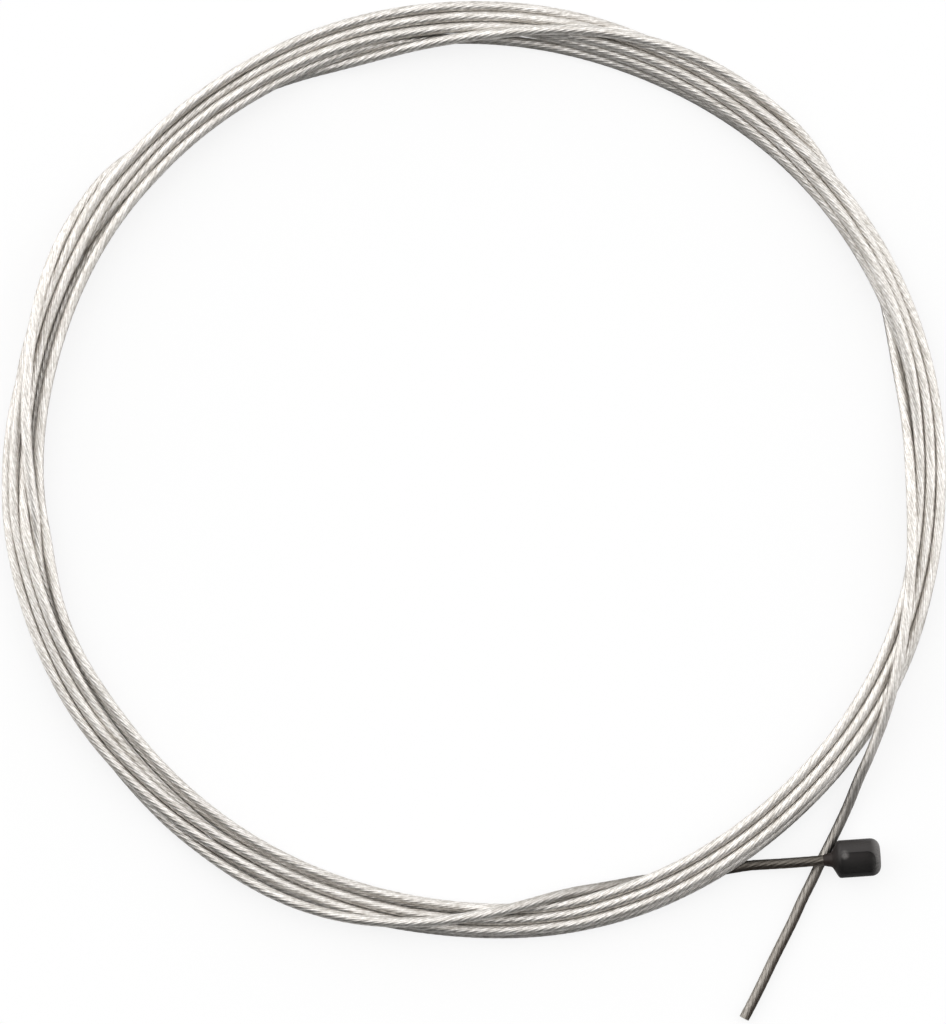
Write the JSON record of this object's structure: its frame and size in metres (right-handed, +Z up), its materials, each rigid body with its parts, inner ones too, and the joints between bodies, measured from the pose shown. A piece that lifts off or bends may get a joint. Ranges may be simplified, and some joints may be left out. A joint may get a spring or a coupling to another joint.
{
  "type": "bicycle shift cable",
  "caption": "Coiled stainless shift cable with a black barrel head; one end of the strand is wound round the coil to hold it together.",
  "frame": {"origin": "centre of the part's footprint, on the surface that the coil lies on", "axes": "+Z up along the coil's axis; -Y towards the head and the cut end; the head points to +X"},
  "size_m": [0.0992, 0.108, 0.0049],
  "materials": {
    "stainless_strand": "drawn",
    "black_cast_zinc": "satin"
  },
  "bodies": {
    "root": {"coil_turns": "stainless_strand", "cut_end_wrap": "stainless_strand", "head_end_wrap": "stainless_strand", "cable_head": "black_cast_zinc"}
  },
  "joints": []
}
